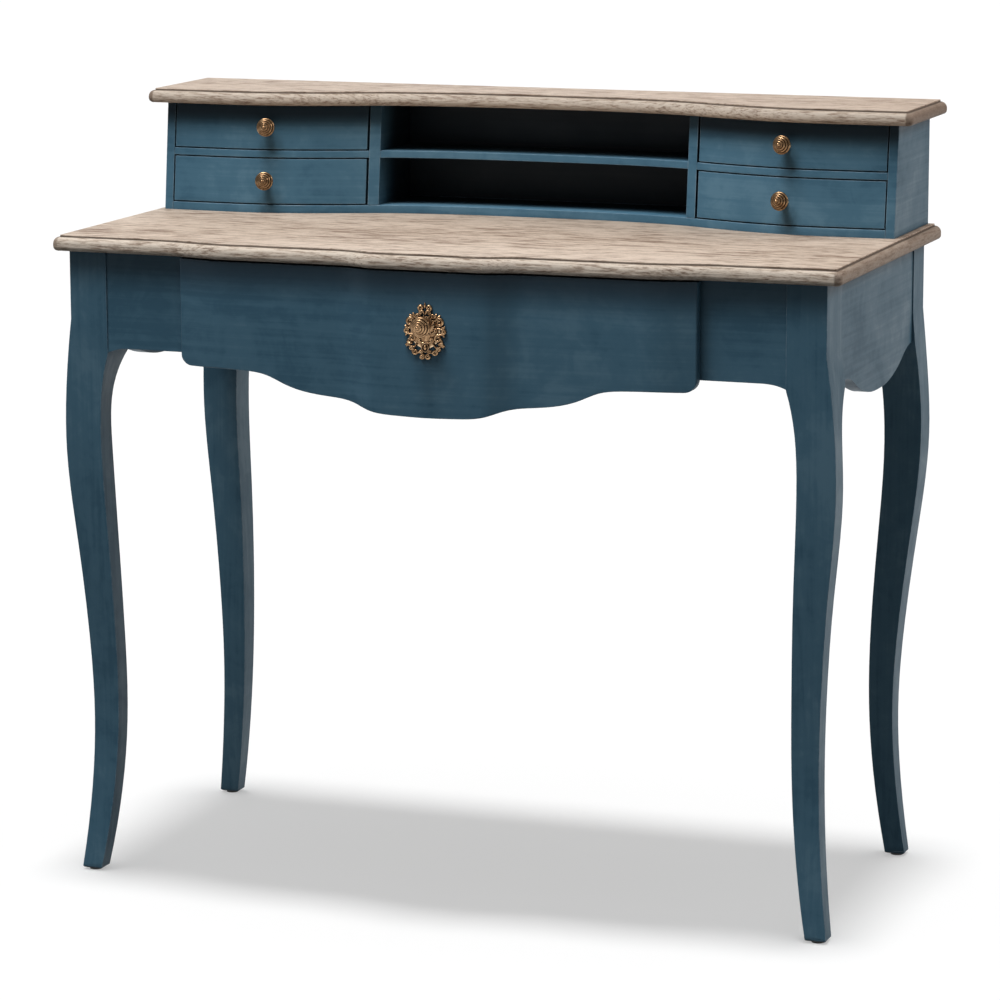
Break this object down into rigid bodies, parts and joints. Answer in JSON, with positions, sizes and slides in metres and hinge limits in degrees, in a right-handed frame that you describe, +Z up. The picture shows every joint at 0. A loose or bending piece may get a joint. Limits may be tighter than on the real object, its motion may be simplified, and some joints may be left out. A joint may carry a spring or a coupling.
{
  "type": "secretary desk",
  "caption": "Writing desk with cabriole legs, one wide serpentine drawer, and a small unit on top with bowed drawers either side of open cubbies.",
  "frame": {"origin": "on the floor, under the middle of the desk's bounding box", "axes": "+X to the right as seen from the front, +Y to the back, +Z up; the drawers slide out along -Y"},
  "size_m": [1.012, 0.518, 0.9645],
  "materials": {
    "limed_oak": "matt, wire-brushed greige oak",
    "blue_paint": "chalky blue paint with faint brush strokes, rubbed on the edges",
    "aged_brass": "antique, dark in the recesses",
    "drawer_wood": "unpainted pine",
    "plywood": "thin plywood",
    "zinc_steel": "zinc plated",
    "nylon": "matt brown nylon"
  },
  "bodies": {
    "carcass": {"back_apron": "blue_paint", "corner_blocks": "drawer_wood", "foot_glides": "nylon", "front_bottom_rail": "blue_paint", "front_top_rail": "blue_paint", "kickers": "drawer_wood", "left_apron": "blue_paint", "left_divider": "blue_paint", "left_drawer_rail": "blue_paint", "left_front_apron": "blue_paint", "left_front_leg": "blue_paint", "left_rear_leg": "blue_paint", "left_runner": "drawer_wood", "left_unit_side": "blue_paint", "leg_bolts": "zinc_steel", "middle_shelf": "blue_paint", "right_apron": "blue_paint", "right_divider": "blue_paint", "right_drawer_rail": "blue_paint", "right_front_apron": "blue_paint", "right_front_leg": "blue_paint", "right_rear_leg": "blue_paint", "right_runner": "drawer_wood", "right_unit_side": "blue_paint", "shelf_dowels": "drawer_wood", "tabletop": "limed_oak", "tabletop_screws": "zinc_steel", "top_shelf": "limed_oak", "unit_back_panel": "blue_paint", "unit_bottom_board": "blue_paint", "unit_screws": "zinc_steel"},
    "main_drawer": {"drawer_front": "blue_paint", "drawer_right_side": "drawer_wood", "drawer_left_side": "drawer_wood", "drawer_back": "drawer_wood", "drawer_bottom": "plywood", "escutcheon": "aged_brass", "drawer_knob": "aged_brass", "drawer_knob_screw": "zinc_steel"},
    "upper_left_drawer": {"upper_left_front": "blue_paint", "upper_left_sides": "drawer_wood", "upper_left_back": "drawer_wood", "upper_left_bottom": "plywood", "upper_left_knob": "aged_brass"},
    "upper_right_drawer": {"upper_right_front": "blue_paint", "upper_right_sides": "drawer_wood", "upper_right_back": "drawer_wood", "upper_right_bottom": "plywood", "upper_right_knob": "aged_brass"},
    "lower_left_drawer": {"lower_left_front": "blue_paint", "lower_left_sides": "drawer_wood", "lower_left_back": "drawer_wood", "lower_left_bottom": "plywood", "lower_left_knob": "aged_brass"},
    "lower_right_drawer": {"lower_right_front": "blue_paint", "lower_right_sides": "drawer_wood", "lower_right_back": "drawer_wood", "lower_right_bottom": "plywood", "lower_right_knob": "aged_brass"}
  },
  "joints": [
    {"name": "main_drawer_slide", "type": "slide", "parent": "carcass", "child": "main_drawer", "axis": [0, -1, 0], "range_m": [0, 0.3]},
    {"name": "upper_left_drawer_slide", "type": "slide", "parent": "carcass", "child": "upper_left_drawer", "axis": [0, -1, 0], "range_m": [0, 0.085]},
    {"name": "upper_right_drawer_slide", "type": "slide", "parent": "carcass", "child": "upper_right_drawer", "axis": [0, -1, 0], "range_m": [0, 0.085]},
    {"name": "lower_left_drawer_slide", "type": "slide", "parent": "carcass", "child": "lower_left_drawer", "axis": [0, -1, 0], "range_m": [0, 0.085]},
    {"name": "lower_right_drawer_slide", "type": "slide", "parent": "carcass", "child": "lower_right_drawer", "axis": [0, -1, 0], "range_m": [0, 0.085]}
  ]
}
